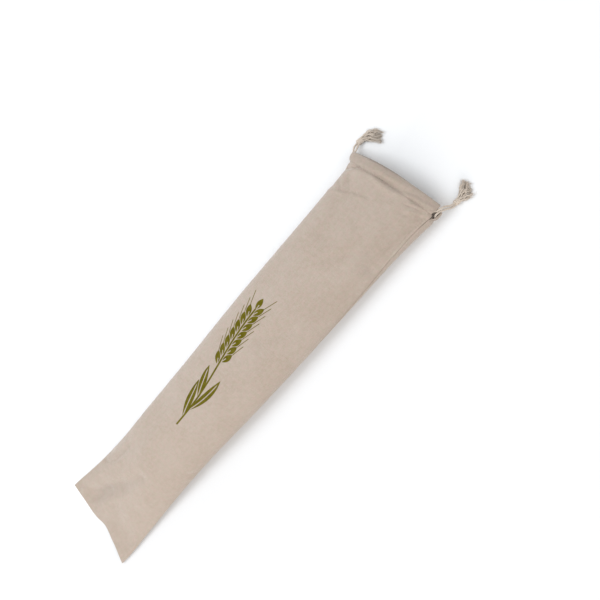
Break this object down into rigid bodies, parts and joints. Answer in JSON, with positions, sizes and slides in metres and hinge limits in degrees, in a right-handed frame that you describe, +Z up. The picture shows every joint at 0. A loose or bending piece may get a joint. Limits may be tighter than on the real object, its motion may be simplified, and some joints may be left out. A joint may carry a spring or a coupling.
{
  "type": "linen bread bag",
  "caption": "Long flat linen pouch for a loaf, lying rounded with its mouth open; a casing hemmed at the mouth holds drawcords that leave at the sides and end in knots with frayed ends.",
  "frame": {"origin": "on the resting face, midway along the bag and on its middle line", "axes": "+X along the bag from its closed end to its mouth, +Z up out of the surface it lies on, +Y to the left of someone looking along +X"},
  "size_m": [0.7928, 0.165, 0.0548],
  "materials": {
    "linen": "matt plain-woven natural linen",
    "cotton_cord": "matt twisted natural cotton cord"
  },
  "bodies": {
    "root": {"front_panel": "linen", "back_panel": "linen", "drawcord_left": "cotton_cord", "drawcord_right": "cotton_cord", "tassel_left": "cotton_cord", "tassel_right": "cotton_cord"}
  },
  "joints": []
}
